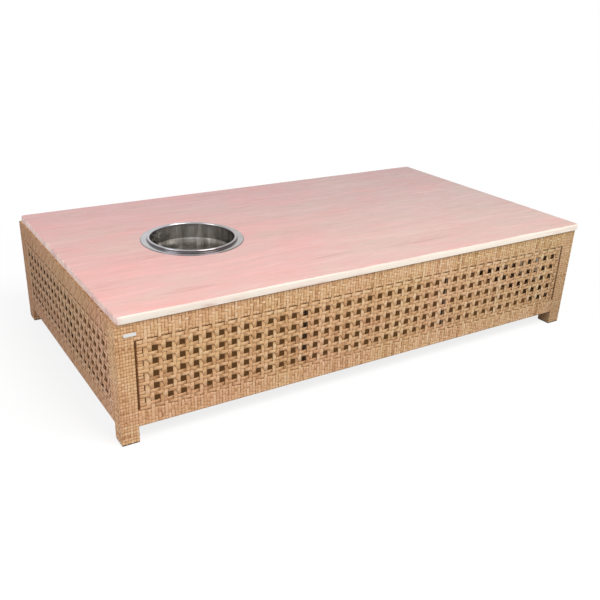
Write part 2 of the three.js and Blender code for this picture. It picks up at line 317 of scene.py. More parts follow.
def weave_material():
    """Extruded resin strand: a tone of its own for each, fine ribs along it, and painted shade where strands
    cross and along their edges. Painted shade also darkens the left face, the right end, the foot of the
    right-hand legs and the weave low down, and a painted cool light tints it towards the right."""
    coat = Coat("resin_weave")
    strand = coat.add("ShaderNodeAttribute", {}, "Vector", attribute_name="strand")
    recess = coat.add("ShaderNodeAttribute", {}, "Fac", attribute_name="recess")
    across, _, tone = coat.split(strand)
    streak = coat.noise(strand, (700.0, 22.0, 90.0), detail=2.0)
    broad = coat.noise(strand, (40.0, 9.0, 30.0), detail=1.0)
    fleck = coat.noise(strand, (90.0, 75.0, 60.0), detail=1.0)
    for grain, swing in ((streak, 0.12), (fleck, 0.22), (broad, 0.14)):
        tone = tone + coat.span(grain, 0.3, 0.7, -swing, swing)
    colour = coat.ramp(
        tone, (0.0, (0.5, 0.25, 0.112)), (0.25, (0.69, 0.378, 0.184)),
        (0.5, (0.81, 0.486, 0.262)), (0.75, (0.87, 0.556, 0.322)),
        (1.0, (0.91, 0.63, 0.4)))
    place = coat.object_place()
    patch = coat.noise(place, 5.5, detail=2.0)
    patch = coat.ramp(patch, (0.35, (1.0, 0.94, 0.97)), (0.65, (0.98, 1.0, 0.9)))
    x, y, z = coat.split(place)
    facing, *_ = coat.split(coat.add("ShaderNodeNewGeometry", {}, "Normal"))
    # Painted shade: the left face darkens towards the back.
    left_face_shade = coat.ramp(
        coat.span(y, legs_low[1], legs_high[1]), (0.03, (1.0, 1.0, 1.0)), (0.09, (0.9, 0.82, 0.84)),
        (0.25, (0.79, 0.745, 0.71)), (0.55, (0.72, 0.665, 0.64)),
        (0.95, (0.6, 0.52, 0.46)))
    # Painted shade in the crevices: under crossing strands, and along each strand's edges.
    painted_crevice_shade = coat.ramp(recess, (0.0, (1.0, 1.0, 1.0)), (0.45, (0.84, 0.8, 0.75)), (1.0, (0.46, 0.38, 0.3)))
    # Tints: random patches, painted shade low down, a painted cool light towards the right, the resin's own
    # tone, painted shade at the right end and at the foot of the right-hand legs, then the painted shade of
    # the left face and of the crevices.
    colour = coat.tinted(
        colour,
        (patch, 0.6),
        ((0.985, 0.965, 1.0), coat.fade(z, *LOW_DOWN)),
        ((0.87, 0.96, 1.02), coat.span(x, legs_low[0], legs_high[0])),
        ((0.94, 0.945, 0.93), 1.0),
        ((0.915, 0.905, 0.86), coat.span(x, *RIGHT_END)),
        ((0.79, 0.75, 0.72), coat.span(x, *RIGHT_LEGS) * coat.fade(z, *LEG_FEET)),
        (left_face_shade, coat.fade(facing, -0.75, -0.45)),
        (painted_crevice_shade, 1.0))
    ribs = coat.maths("SINE", across * (2 * math.pi / RIB_PITCH))
    return coat.shade({
        "Base Color": colour,
        "Roughness": coat.span(streak, 0.25, 0.75, 0.46, 0.66),
        "Specular IOR Level": 0.38,
        "Normal": coat.bump(ribs * 0.35 + streak, 0.55, 0.00022),
    })


def stone_material(low, high):
    """Vein-cut pink stone: long wavering streaks, soft clouds, pits, chips and pale worn edges, with a
    painted cool light towards the right and painted shade towards the back and on the top ease.
    """
    coat = Coat("pink_stone")
    place = coat.object_place()
    x, y, z = coat.split(place)
    warp = coat.noise(place, (1.4, 3.0, 1.0), detail=2.0)
    veined = coat.joined(x, y + warp * 0.14, z)
    bands = coat.noise(veined, (0.8, 12.0, 12.0), roughness=0.6)
    streaks = coat.noise(veined, (3.4, 34.0, 34.0), roughness=0.6)
    fine = coat.noise(veined, (13.0, 105.0, 105.0), roughness=0.65)
    clouds = coat.noise(place, (3.4, 8.0, 1.0), roughness=0.6)
    grain = bands * 0.4 + streaks * 0.38 + fine * 0.22
    colour = coat.ramp(
        coat.span(grain, 0.375, 0.625), (0.0, (0.89, 0.59, 0.525)), (0.32, (0.855, 0.555, 0.505)),
        (0.52, (0.815, 0.525, 0.475)), (0.7, (0.805, 0.545, 0.485)),
        (1.0, (0.73, 0.45, 0.4)))
    cloudy = coat.ramp(
        clouds, (0.36, (0.99, 0.895, 0.9)), (0.5, (0.95, 0.95, 0.95)), (0.64, (0.93, 1.0, 0.98)))
    # After the clouds and the stone's own tone: a painted cool light towards the right, and painted shade
    # towards the back.
    colour = coat.tinted(
        colour,
        (cloudy, 1.0),
        ((0.935, 0.838, 0.845), 1.0),
        ((0.79, 0.92, 0.91), coat.span(x, low[0], high[0])),
        ((0.83, 0.815, 0.87), coat.span(y, low[1], high[1])))
    chips = coat.noise(veined, (40.0, 95.0, 95.0), detail=2.0, roughness=0.6, shift=(3.0, 5.0, 0.0))
    colour = coat.mix(colour, (0.93, 0.74, 0.66), coat.span(chips, 0.71, 0.75) * 0.45)
    pits = coat.noise(veined, (34.0, 140.0, 140.0), detail=2.0, roughness=0.7)
    pit = coat.span(pits, 0.725, 0.765)
    colour = coat.mix(colour, (0.36, 0.2, 0.18), pit * 0.62)
    insets = [coat.maths("SUBTRACT", (end - start) / 2, coat.maths("ABSOLUTE", value - (end + start) / 2))
              for value, start, end in zip((x, y), low, high)]
    inset = coat.maths("MINIMUM", *insets) + coat.span(x, low[0], low[0] + EDGE_REACH, LEFT_BAND_CUT, 0.0)
    wobble = (streaks - 0.5) * 0.012
    border = coat.fade(inset + wobble, PALE_BAND * 0.35, PALE_BAND * 1.5)
    pale = coat.ramp(
        grain, (0.4, (0.96, 0.88, 0.78)), (0.52, (0.93, 0.83, 0.73)), (0.62, (0.85, 0.71, 0.62)))
    # Painted shade tones down the pale band on the top ease, where light catches it most.
    eased = coat.span(z, high[2] - SLAB_EASE, high[2] - SLAB_EASE * 0.4)
    pale = coat.tinted(pale, ((0.86, 0.83, 0.82), eased))
    left_edge = coat.fade(x, low[0], low[0] + EDGE_REACH)
    pale = coat.mix(pale, (0.9, 0.66, 0.575), left_edge * 0.8)
    back_edge = coat.span(y, high[1] - EDGE_REACH, high[1])
    pale = coat.mix(pale, (0.74, 0.53, 0.49), back_edge * 0.8)
    return coat.shade({
        "Base Color": coat.mix(colour, pale, border),
        "Roughness": coat.span(fine, 0.3, 0.7, 0.36, 0.54),
        "Specular IOR Level": 0.35,
        "Normal": coat.bump(fine * 0.35 - pit, 0.4, 0.0006),
    })


def steel_material(centre, rim):
    """Polished steel spun on a lathe: fine rings about the bucket's axis, painted reflections on the flange,
    painted shade and reflection streaks down its inside, and painted shade in the creases at the foot of the
    rim and at the flange's edge. Heights start at the flange's top."""
    coat = Coat("spun_steel")
    place = coat.vector("SUBTRACT", coat.object_place(), centre)
    x, y, z = coat.split(place)
    radius = coat.maths("SQRT", x * x + y * y)
    turn = coat.vector("NORMALIZE", coat.joined(x, y))
    rings = coat.noise(coat.joined(radius, 0.0, z), 1500.0, roughness=0.6)
    smudge = coat.noise(place, 14.0, detail=4.0)
    # Painted reflections: streaks that run down the inside.
    reflection_place = coat.vector("MULTIPLY_ADD", turn, (3.2, 3.2, 0.0), coat.stretched(place, (0.0, 0.0, 3.0)))
    streak = coat.noise(reflection_place, 1.0, detail=4.0, roughness=0.65)
    tone = rings * 0.5 + smudge * 0.5
    colour = coat.ramp(
        tone, (0.3, (0.405, 0.402, 0.438)), (0.5, (0.475, 0.47, 0.497)), (0.7, (0.545, 0.535, 0.54)))
    # Painted reflections: the steel darker and warmer towards the right, and darker and pinker at the front.
    colour = coat.tinted(
        colour,
        ((0.83, 0.8, 0.75), coat.span(x, -0.06, 0.17)),
        ((0.84, 0.76, 0.74), coat.fade(y, -0.19, -0.09)))
    # Painted shade and reflection streaks inside the bucket, plainer on its floor.
    inside = coat.ramp(
        streak, (0.36, (0.29, 0.27, 0.24)), (0.5, (0.45, 0.43, 0.41)), (0.64, (0.7, 0.69, 0.67)))
    on_floor = coat.fade(radius, FLOOR_RADIUS * 0.8, FLOOR_RADIUS * 0.98)
    inside = coat.mix(inside, (0.41, 0.4, 0.39), on_floor)
    colour = coat.mix(colour, inside, coat.fade(z, -0.012, 0.002))
    # Painted shade in the crease at the bead's foot and along the flange's edge.
    foot = MOUTH_RADIUS + BEAD_WIDTH
    into, out_of = ([foot + out for out in ends] for ends in FOOT_CREASE)
    crease = coat.span(radius, *into) * coat.fade(radius, *out_of)
    edge = coat.span(radius, *(rim - inward for inward in EDGE_CREASE))
    return coat.shade({
        "Base Color": coat.tinted(colour, ((0.42, 0.4, 0.42), edge), ((0.3, 0.29, 0.29), crease)),
        "Metallic": 1.0,
        "Roughness": coat.span(tone, 0.3, 0.7, 0.13, 0.27),
        "Normal": coat.bump(rings, 0.1, 0.0001),
    })


def tube_material():
    """Powder-coated aluminium, with the fine pebble of the coat and a little dust."""
    coat = Coat("powder_coated_tube")
    place = coat.object_place()
    dust = coat.noise(place, 18.0)
    return coat.shade({
        "Base Color": coat.ramp(dust, (0.3, (0.175, 0.112, 0.066)), (0.7, (0.24, 0.16, 0.1))),
        "Roughness": coat.span(dust, 0.3, 0.7, 0.48, 0.66),
        "Normal": coat.bump(coat.noise(place, 900.0, detail=2.0), 0.3, 0.0002),
    })


def moulded_material(name, dark, light, rough, grain):
    """Moulded rubber or plastic with a fine skin and scuffs."""
    coat = Coat(name)
    place = coat.object_place()
    scuff = coat.noise(place, 60.0, detail=4.0, roughness=0.7)
    return coat.shade({
        "Base Color": coat.ramp(scuff, (0.35, dark), (0.7, light)),
        "Roughness": coat.span(scuff, 0.3, 0.7, rough - 0.08, rough + 0.1),
        "Normal": coat.bump(coat.noise(place, grain), 0.35, 0.0002),
    })


# Strands

# Each profile is (share of the half width, share of the thickness) round a strand, seen along it
SHOULDER = 1 - BEVEL_SHARE * 2
WHOLE_PROFILE = [(-1, 0), (-SHOULDER, 0.5), (SHOULDER, 0.5), (1, 0), (SHOULDER, -0.5), (-SHOULDER, -0.5)]
OUTER_PROFILE = [(-1, -0.5), (-1, -0.05), (-SHOULDER, 0.5), (SHOULDER, 0.5), (1, -0.05), (1, -0.5)]


def add_object(name, data):
    made = bpy.data.objects.new(name, data)
    bpy.context.scene.collection.objects.link(made)
    return made


def dress(name, mesh, material, slot, body, *replaced):
    piece = add_object(name, mesh)
    mesh.materials.append(material)
    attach(piece, body)
    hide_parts(*replaced)


def smooth_shell(name, vertices, faces, *dressing):
    mesh = bpy.data.meshes.new(name)
    mesh.from_pydata(vertices, [], faces)
    mesh.update()
    mesh.shade_smooth()
    dress(name, mesh, *dressing)


class Bundle:
    """Gathers strands and makes one mesh of them, with what the material needs to know of each."""

    def __init__(self, profile, whole, thickness, soiled, paler=0.0):
        self.across, depth = np.array(profile, float).T
        self.depth = depth * thickness
        self.rim = (np.abs(self.across) == 1).astype(float)
        self.whole, self.soiled, self.paler = whole, soiled, paler
        self.vertices, self.faces, self.notes, self.recesses, self.count = [], [], [], [], 0

    def add(self, points, sides, outward, width, looped, lift=1.0):
        """points, sides and outward are strands x stations x 3, and the last two may be one for all. width
        and lift are strands x stations, or one for all. lift is -1 under a strand and 1 over it."""
        strands, stations = points.shape[:2]
        sides = np.broadcast_to(sides, points.shape)
        outward = np.broadcast_to(outward, points.shape)
        widths = np.broadcast_to(width, (strands, stations))
        widths = widths * random.normal(1, WIDTH_SPREAD_SHARE, (strands, 1)).clip(*WIDTH_LIMITS)
        half = self.across * widths[:, :, None] / 2
        vertices = (points[:, :, None, :] + sides[:, :, None, :] * half[..., None]
                    + outward[:, :, None, :] * self.depth[:, None])
        steps = np.linalg.norm(np.diff(points, axis=1), axis=2)
        along = np.concatenate([np.zeros((strands, 1)), np.cumsum(steps, axis=1)], axis=1)
        along = along + random.uniform(0, GRAIN_SHIFT, (strands, 1))
        tone = np.clip(random.normal(TONE, TONE_SPREAD, (strands, 1)) + self.paler, 0, 1)
        notes = np.empty(vertices.shape)
        notes[..., 0] = half
        notes[..., 1] = along[:, :, None]
        notes[..., 2] = tone[:, :, None]
        # The recess says where painted shade falls: under crossing strands, and along each strand's edges.
        sunk = (1 - np.broadcast_to(lift, (strands, stations))) / 2
        recess = np.maximum(sunk[:, :, None], self.rim)
        ring = len(self.across)
        lanes = ring if self.whole else ring - 1
        spans = stations if looped else stations - 1
        strand, station, lane = np.meshgrid(
            np.arange(strands), np.arange(spans), np.arange(lanes), indexing="ij")
        following = (station + 1) % stations
        beside = (lane + 1) % ring
        corners = [(station, lane), (following, lane), (following, beside), (station, beside)]
        faces = [(strand * stations + station) * ring + lane for station, lane in corners]
        self.vertices.append(vertices.reshape(-1, 3))
        self.notes.append(notes.reshape(-1, 3))
        self.recesses.append(recess.ravel() * self.soiled)
        self.faces.append(np.stack(faces, axis=-1).reshape(-1, 4) + self.count)
        self.count += strands * stations * ring

    def build(self, name, material, replaced):
        vertices = np.concatenate(self.vertices)
        faces = np.concatenate(self.faces)
        mesh = bpy.data.meshes.new(name)
        mesh.vertices.add(len(vertices))
        mesh.vertices.foreach_set("co", vertices.astype(np.float32).ravel())
        mesh.loops.add(faces.size)
        mesh.loops.foreach_set("vertex_index", faces.astype(np.int32).ravel())
        mesh.polygons.add(len(faces))
        mesh.polygons.foreach_set("loop_start", np.arange(0, faces.size, 4, dtype=np.int32))
        mesh.update(calc_edges=True)
        mesh.shade_smooth()
        notes = mesh.attributes.new("strand", "FLOAT_VECTOR", "POINT")
        notes.data.foreach_set("vector", np.concatenate(self.notes).astype(np.float32).ravel())
        recess = mesh.attributes.new("recess", "FLOAT", "POINT")
        recess.data.foreach_set("value", np.concatenate(self.recesses).astype(np.float32))
        dress(name, mesh, material, "weave", "table", replaced)


def wander(shape):
    """How far each strand strays sideways from its place: random at knots along it, and smooth between."""
    strands, stations = shape
    knots = random.normal(0, WANDER, (strands, max(3, stations // STATIONS_PER_KNOT)))
    places = np.linspace(0, knots.shape[1] - 1, stations)
    left = np.floor(places).astype(int).clip(0, knots.shape[1] - 2)
    share = places - left
    share = share * share * (3 - 2 * share)
    return knots[:, left] * (1 - share) + knots[:, left + 1] * share


class Ring:
    """Stations round a rounded rectangle, at the middle depth of the skin. It starts at a corner of the
    outer face. Onward is along that face, and inward is into the table. The rows of cross strands are
    numbered the same way round."""

    def __init__(self, depth, breadth, deep_rows, broad_rows, radius):
        points, outward, rows = [], [], []
        row_points, row_outward, row_sides, steps = [], [], [], []
        faces = [
            ((0, 0), (0, 1), breadth, broad_rows, (-1, 0)),
            ((0, breadth), (1, 0), depth, deep_rows, (0, 1)),
            ((depth, breadth), (0, -1), breadth, broad_rows, (1, 0)),
            ((depth, 0), (-1, 0), depth, deep_rows, (0, -1)),
        ]
        for start, run, length, count, out in faces:
            start, run, out = np.array([start, run, out], float)
            skin = start - out * SKIN_MIDDLE
            step = (length - 2 * radius) / count
            for index in range(count):
                for share in ROW_SHARES:
                    points.append(skin + run * (radius + step * (index + share)))
                    outward.append(out)
                    rows.append(len(steps))
                row_points.append(skin + run * (radius + step * (index + 0.5)))
                row_outward.append(out)
                row_sides.append(run)
                steps.append(step)
            centre = start + run * (length - radius) - out * radius
            for share in CORNER_SHARES:
                angle = share * QUARTER_TURN
                direction = out * math.cos(angle) + run * math.sin(angle)
                points.append(centre + direction * max(radius - SKIN_MIDDLE, SHARPEST_BEND))
                outward.append(direction)
                rows.append(-1)
        self.points, self.outward, self.rows = np.array(points), np.array(outward), np.array(rows)
        self.row_points, self.row_outward = np.array(row_points), np.array(row_outward)
        self.row_sides, self.steps = np.array(row_sides), steps


def in_space(flat, inward, onward):
    return flat[..., 0:1] * inward + flat[..., 1:2] * onward


def twill(loop, row, floats, phase=0):
    """Whether a loop lies over a row. In each repeat it lies over floats rows, and under the rest."""
    return (loop - row - phase) % STRANDS_PER_HOLE < floats


def signed(over):
    return np.where(over, 1.0, -1.0)


def crossings(start, middles, stop, signs):
    """Stations along strands that cross others: one at each end, and two at each of the middles. signs are
    strands x middles, and the lifts at the stations follow them."""
    step = np.diff(middles).mean()
    inner = (middles[:, None] + step * (np.array(ROW_SHARES) - 0.5)).ravel()
    lifts = np.repeat(signs, 2, axis=1)
    lifts = np.concatenate([lifts[:, :1], lifts, lifts[:, -1:]], axis=1)
    return np.concatenate([[start], inner, [stop]]), lifts


def woven_tube(bundle, ring, origin, axis, inward, onward, places, widths, over, continued=()):
    """Loops round a tube at places along its axis, and a strand along the axis for each of the ring's rows.
    The loops in continued run straight on past the ring's first corner instead of turning there."""
    signs = signed(over(np.arange(len(places))[:, None], np.arange(len(ring.steps))[None, :]))
    lifts = np.where(ring.rows < 0, CORNER_LIFT, signs[:, ring.rows])
    outward = in_space(ring.outward, inward, onward)
    loops = (origin + places[:, None, None] * axis + in_space(ring.points, inward, onward)
             + outward * lifts[:, :, None] * SWING + wander(lifts.shape)[:, :, None] * axis)
    straight = np.isin(np.arange(len(places)), continued)
    bundle.add(loops[~straight], axis, outward, widths, True, lifts[~straight])
    if straight.any():
        last_corner = len(CORNER_SHARES)
        first = loops[straight][:, :1] - onward * ring.points[0][1]
        open_loops = np.concatenate([first, loops[straight][:, :-last_corner]], axis=1)
        open_outward = np.concatenate([outward[:1], outward[:-last_corner]])
        open_lifts = np.concatenate([lifts[straight][:, :1], lifts[straight][:, :-last_corner]], axis=1)
        bundle.add(open_loops, axis, open_outward, widths, False, open_lifts)
    step = np.diff(places).mean()
    along, lifts = crossings(places[0] - step / 2, places, places[-1] + step / 2, -signs.T)
    points, outward, sides = (
        in_space(flat, inward, onward)[:, None]
        for flat in (ring.row_points, ring.row_outward, ring.row_sides))
    rows = (origin + along[:, None] * axis + points + outward * lifts[:, :, None] * SWING
            + sides * wander(lifts.shape)[:, :, None])
    for index, width in enumerate(ring.steps):
        bundle.add(rows[index:index + 1], sides[index], outward[index], width * PACKED_SHARE, False,
                   lifts[index:index + 1])


def woven_cap(bundle, corner, inward, onward, size, count):
    """A square of twill on top of a leg, with its strands ending at the edges."""
    step = (size - SEAM_RADIUS) / count
    middles = SEAM_RADIUS / 2 + (np.arange(count) + 0.5) * step
    signs = signed(twill(np.arange(count)[:, None], np.arange(count)[None, :], CAP_FLOATS))
    for first, second, turned in ((inward, onward, signs), (onward, inward, -signs.T)):
        run, lifts = crossings(SEAM_RADIUS, middles, size - SEAM_RADIUS, turned)
        points = (corner + middles[:, None, None] * first + run[None, :, None] * second
                  + UP * (lifts[:, :, None] * SWING - SKIN_MIDDLE))
        bundle.add(points, first, UP, step * PACKED_SHARE, False, lifts)


class Plan:
    """Where strands stand along a side, and its courses' levels, from the boxes of its panel and rail."""

    def __init__(self, side):
        self.origin, self.along, self.inward = np.array(SIDES[side], float)
        low, high = box(f"lattice_{side}")
        rail_low, rail_high = box(f"top_rail_weave_{side}")
        self.low, self.high = low[2], high[2]
        self.half = (high - low) @ np.abs(self.along) / 2
        half_rail = (rail_high - rail_low) @ np.abs(self.along) / 2
        self.clear_half = self.half - STILE
        stray_along, stray_up = STRAY.get(side, NO_STRAY)
        holes = round((2 * self.clear_half / STRAND_PITCH - STRANDS_IN_PAIR) / STRANDS_PER_HOLE)
        count = STRANDS_PER_HOLE * holes + STRANDS_IN_PAIR
        self.step = 2 * self.clear_half / count
        first = stray_along - self.clear_half
        inner = first + (np.arange(count) + 0.5) * self.step
        inner = inner[inner < self.clear_half]
        ends = []
        for start, stop in ((-half_rail, inner[0] - self.step / 2), (inner[-1] + self.step / 2, half_rail)):
            extra = max(1, round((stop - start) / self.step))
            ends.append(start + (np.arange(extra) + 0.5) * (stop - start) / extra)
        self.extra = len(ends[0])
        self.places = np.concatenate([ends[0], inner, ends[1]])
        index = np.arange(len(self.places)) - self.extra
        paired = (index % STRANDS_PER_HOLE < STRANDS_IN_PAIR) & (index >= 0) & (index < count)
        self.continued = np.flatnonzero(paired)
        self.uprights = first + (np.arange(holes + 1) * STRANDS_PER_HOLE + 1) * self.step
        self.slack = stray_along * SLACK_SHARE
        rise = self.high - self.low
        rows = round((rise / STRAND_PITCH - STRANDS_IN_PAIR) / STRANDS_PER_HOLE)
        row_step = rise / (STRANDS_PER_HOLE * rows + STRANDS_IN_PAIR)
        levels = self.low + row_step + COURSE_PITCH * np.arange(rows + 1)
        straight, self.courses = (
            np.clip(middles, self.low + COURSE_HALF, self.high - COURSE_HALF - UNDER_RAIL)
            for middles in (levels, levels + stray_up))
        self.sag = straight[-1] - self.courses[-1]


def cover_rail(side, level, material):
    plan = Plan(side)
    name = f"{level}_rail_weave_{side}"
    low, high = box(name)
    depth, height = (high - low) @ np.abs(plan.inward), high[2] - low[2]
    ring = Ring(depth, height, round(depth / STRAND_PITCH), round(height / STRAND_PITCH), EDGE_RADIUS)
    rising = level == "top"
    corner = plan.origin + UP * (low[2] if rising else high[2])
    onward = UP if rising else -UP
    # On the left, the rail's strands are narrower and take more painted shade in their crevices.
    soiled, share = (COARSE_CREVICE_SHADE, COARSE_SHARE) if side == "left" else (RAIL_CREVICE_SHADE, PACKED_SHARE)

    def over(loop, row):
        return twill(loop - plan.extra, row if rising else -row - 1, RAIL_FLOATS, RAIL_PHASE)

    bundle = Bundle(OUTER_PROFILE, False, THICKNESS, soiled)
    woven_tube(bundle, ring, corner, plan.along, plan.inward, onward, plan.places, plan.step * share, over,
               plan.continued)
    bundle.build(f"woven_{level}_rail_{side}", material, name)


def strand_pair(cells, crossing_half, half, first, leans):
    """Two strands side by side, each over and under by turns. first is 1 where the second of them goes over
    the first that they cross, and -1 where it goes under. The seam between them leans over each open span.
    Returns each station's place along the run, and per strand its middle, its width and its lift."""
    run, seam, gap, lifts = [], [], [], []
    sides = np.array([-1.0, 1.0])

    def station(place, lean, opening, lift):
        run.append(place)
        seam.append(lean)
        gap.append(opening)
        lifts.append(lift * first * sides)

    for index, cell in enumerate(cells):
        for end in (-1, 1):
            for within in (-CROSSING_FLAT, CROSSING_FLAT):
                station(cell + end * crossing_half / 2 + within, 0.0, PAIR_GAP, -end)
        if index + 1 < len(cells):
            start, stop = cell + crossing_half, cells[index + 1] - crossing_half
            over, under = (first * share * half for share in leans)
            for share, opening in SPAN_SEAM:
                lean = over * (1 - share) - under * share
                station(start + (stop - start) * share, lean, opening, 2 * share - 1)
    run, seam, gap, lifts = (np.array(values) for values in (run, seam, gap, lifts))
    inner = seam[:, None] + gap[:, None] * sides
    outer = np.broadcast_to(half * sides, inner.shape)
    return run, ((inner + outer) / 2).T, np.abs(outer - inner).T, lifts.T


def lattice_uprights(bundle, plan):
    """Pairs of uprights. The last is squeezed into what room the lattice's stray leaves it."""
    run, aside, widths, lifts = strand_pair(plan.courses, COURSE_HALF, UPRIGHT_HALF, 1, UPRIGHT_LEAN_SHARES)
    run = np.concatenate([[plan.low - UPRIGHT_OVERRUN], run, [plan.high + UPRIGHT_OVERRUN]])
    ends = ((0, 0), (1, 1))
    aside, widths, lifts = (np.pad(values, ends, mode="edge") for values in (aside, widths, lifts))
    depth = LATTICE_MIDDLE - lifts * LATTICE_SWING
    for index, centre in enumerate(plan.uprights):
        room = plan.clear_half - (centre - UPRIGHT_HALF)
        squeeze = min(1.0, room / (2 * UPRIGHT_HALF))
        strays = centre - UPRIGHT_HALF * (1 - squeeze) + aside * squeeze + wander(aside.shape)
        spread = widths * squeeze
        if index == 0:
            strays[0] -= plan.slack / 2
            spread[0] += plan.slack
        points = (plan.origin + plan.along * strays[:, :, None] + UP * run[:, None]
                  + plan.inward * depth[:, :, None])
        bundle.add(points, plan.along, -plan.inward, spread, False, lifts)


def lattice_courses(bundle, plan):
    """Pairs of courses that wrap the stile at each end. The highest reaches up to the rail."""
    run, aside, widths, lifts = strand_pair(plan.uprights, UPRIGHT_HALF, COURSE_HALF, -1, COURSE_LEAN_SHARES)
    wrap_points, wrap_outward = stile_wrap(plan.half, False)
    mirror = np.array([-1.0, 1.0])
    flat = np.stack([run, np.full(len(run), LATTICE_MIDDLE)], 1)
    facing = np.tile([0.0, -1.0], (len(run), 1))
    points, outward = (
        in_space(np.concatenate([wrap * mirror, between, wrap[::-1]]), plan.along, plan.inward)
        for wrap, between in ((wrap_points, flat), (wrap_outward, facing)))
    ends = ((0, 0), (len(wrap_points), len(wrap_points)))
    aside, widths = np.pad(aside, ends, mode="edge"), np.pad(widths, ends, mode="edge")
    raised = np.pad(lifts, ends)[:, :, None] * LATTICE_SWING
    lifts = np.pad(lifts, ends, constant_values=1.0)
    for level, centre in enumerate(plan.courses):
        strays = centre + aside + wander(aside.shape)
        spread = widths.copy()
        if level == len(plan.courses) - 1:
            strays[1] += plan.sag / 2
            spread[1] += plan.sag
        bundle.add(plan.origin + UP * strays[:, :, None] + points + outward * raised, UP, outward, spread,
                   False, lifts)


def stile_fill(bundle, plan):
    """Short wraps that fill both stiles between the courses."""
    flat, out = stile_wrap(plan.half, True)
    starts = np.concatenate([[plan.low], plan.courses + COURSE_HALF])
    stops = np.concatenate([plan.courses - COURSE_HALF, [plan.high]])
    for start, stop in zip(starts, stops):
        count = round((stop - start) / STRAND_PITCH)
        if count == 0:
            continue
        pitch = (stop - start) / count
        levels = start + (np.arange(count) + 0.5) * pitch
        for end in (-1, 1):
            turned = np.array([end, 1])
            outward = in_space(out * turned, plan.along, plan.inward)
            points = (plan.origin + UP * levels[:, None, None]
                      + in_space(flat * turned, plan.along, plan.inward))
            points = points + UP * wander(points.shape[:2])[:, :, None]
            bundle.add(points, UP * end, outward, pitch * PACKED_SHARE, True)


def stile_wrap(half_lattice, closed):
    """Stations round the right-hand stile in plan, from the back of its inner edge to its front, as (along,
    inward) pairs, and on round its inner edge if closed."""
    centre = np.array([half_lattice - STILE / 2, STILE / 2])
    reach = STILE / 2 - LATTICE_MIDDLE - STILE_CORNER
    outs = np.array([(0, 1), (1, 0), (0, -1), (-1, 0)], float)
    faces = 4 if closed else 3
    points, outward = [], []
    for face in range(faces):
        before, out, after = outs[face - 1], outs[face], outs[(face + 1) % 4]
        points += [centre + reach * (out + beside) + STILE_CORNER * out for beside in (before, after)]
        outward += [out, out]
        if not closed and face == faces - 1:
            break
        for share in STILE_CORNER_SHARES:
            angle = share * QUARTER_TURN
            direction = out * math.cos(angle) + after * math.sin(angle)
            points.append(centre + reach * (out + after) + STILE_CORNER * direction)
            outward.append(direction)
    return np.array(points), np.array(outward)


def cover_lattice(side, material):
    plan = Plan(side)
    # On the left, the lattice's strands are paler and take more painted shade, for more light-and-shade
    # contrast.
    soiled, paler = (LEFT_LATTICE_CREVICE_SHADE, LEFT_LATTICE_PALER) if side == "left" else (LATTICE_CREVICE_SHADE, 0.0)
    bundle = Bundle(WHOLE_PROFILE, True, LATTICE_THICKNESS, soiled, paler)
    lattice_uprights(bundle, plan)
    lattice_courses(bundle, plan)
    stile_fill(bundle, plan)
    bundle.build(f"woven_lattice_{side}", material, f"lattice_{side}")


def cover_leg(leg, material):
    name = f"leg_weave_{leg}"
    low, high = box(name)
    size = high - low
    front, left = "front" in leg, "left" in leg
    corner = np.array([low[0] if left else high[0], low[1] if front else high[1], low[2]])
    inward = np.array([0, 1.0 if front else -1.0, 0])
    onward = np.array([1.0 if left else -1.0, 0, 0])
    ring = Ring(size[1], size[0], LEG_ROWS, LEG_ROWS, SEAM_RADIUS)
    count = round(size[2] / LEG_STEP)
    pitch = size[2] / count
    bundle = Bundle(OUTER_PROFILE, False, THICKNESS, LEG_CREVICE_SHADE)
    levels = (np.arange(count) + 0.5) * pitch
    woven_tube(bundle, ring, corner, UP, inward, onward, levels, pitch * PACKED_SHARE,
               lambda loop, row: (loop + row) % 2 == 0)
    woven_cap(bundle, corner + UP * size[2], inward, onward, size[0], LEG_ROWS)
    bundle.build(f"woven_leg_{leg}", material, name)


# Smooth shells for stone and steel

def lathed(centre, profile, segments):
    """profile is a closed outline of (radius, height) pairs, and pairs on the axis close its ends."""
    angles = np.arange(segments) * 2 * math.pi / segments
    vertices, rings = [], []
    for radius, height in profile:
        level = centre[2] + height
        if radius == 0.0:
            rings.append([len(vertices)] * segments)
            vertices.append((centre[0], centre[1], level))
            continue
        rings.append(range(len(vertices), len(vertices) + segments))
        vertices += [(centre[0] + radius * math.cos(angle), centre[1] + radius * math.sin(angle), level)
                     for angle in angles]
    faces = []
    for lower, upper in zip(rings, rings[1:]):
        for index in range(segments):
            following = (index + 1) % segments
            corners = [lower[index], lower[following], upper[following], upper[index]]
            faces.append(tuple(dict.fromkeys(corners)))
    return vertices, faces


def arc(centre, radius_x, radius_y, start, end, steps):
    angles = [start + (end - start) * step / steps for step in range(steps + 1)]
    return [(centre[0] + radius_x * math.cos(angle), centre[1] + radius_y * math.sin(angle))
            for angle in angles]


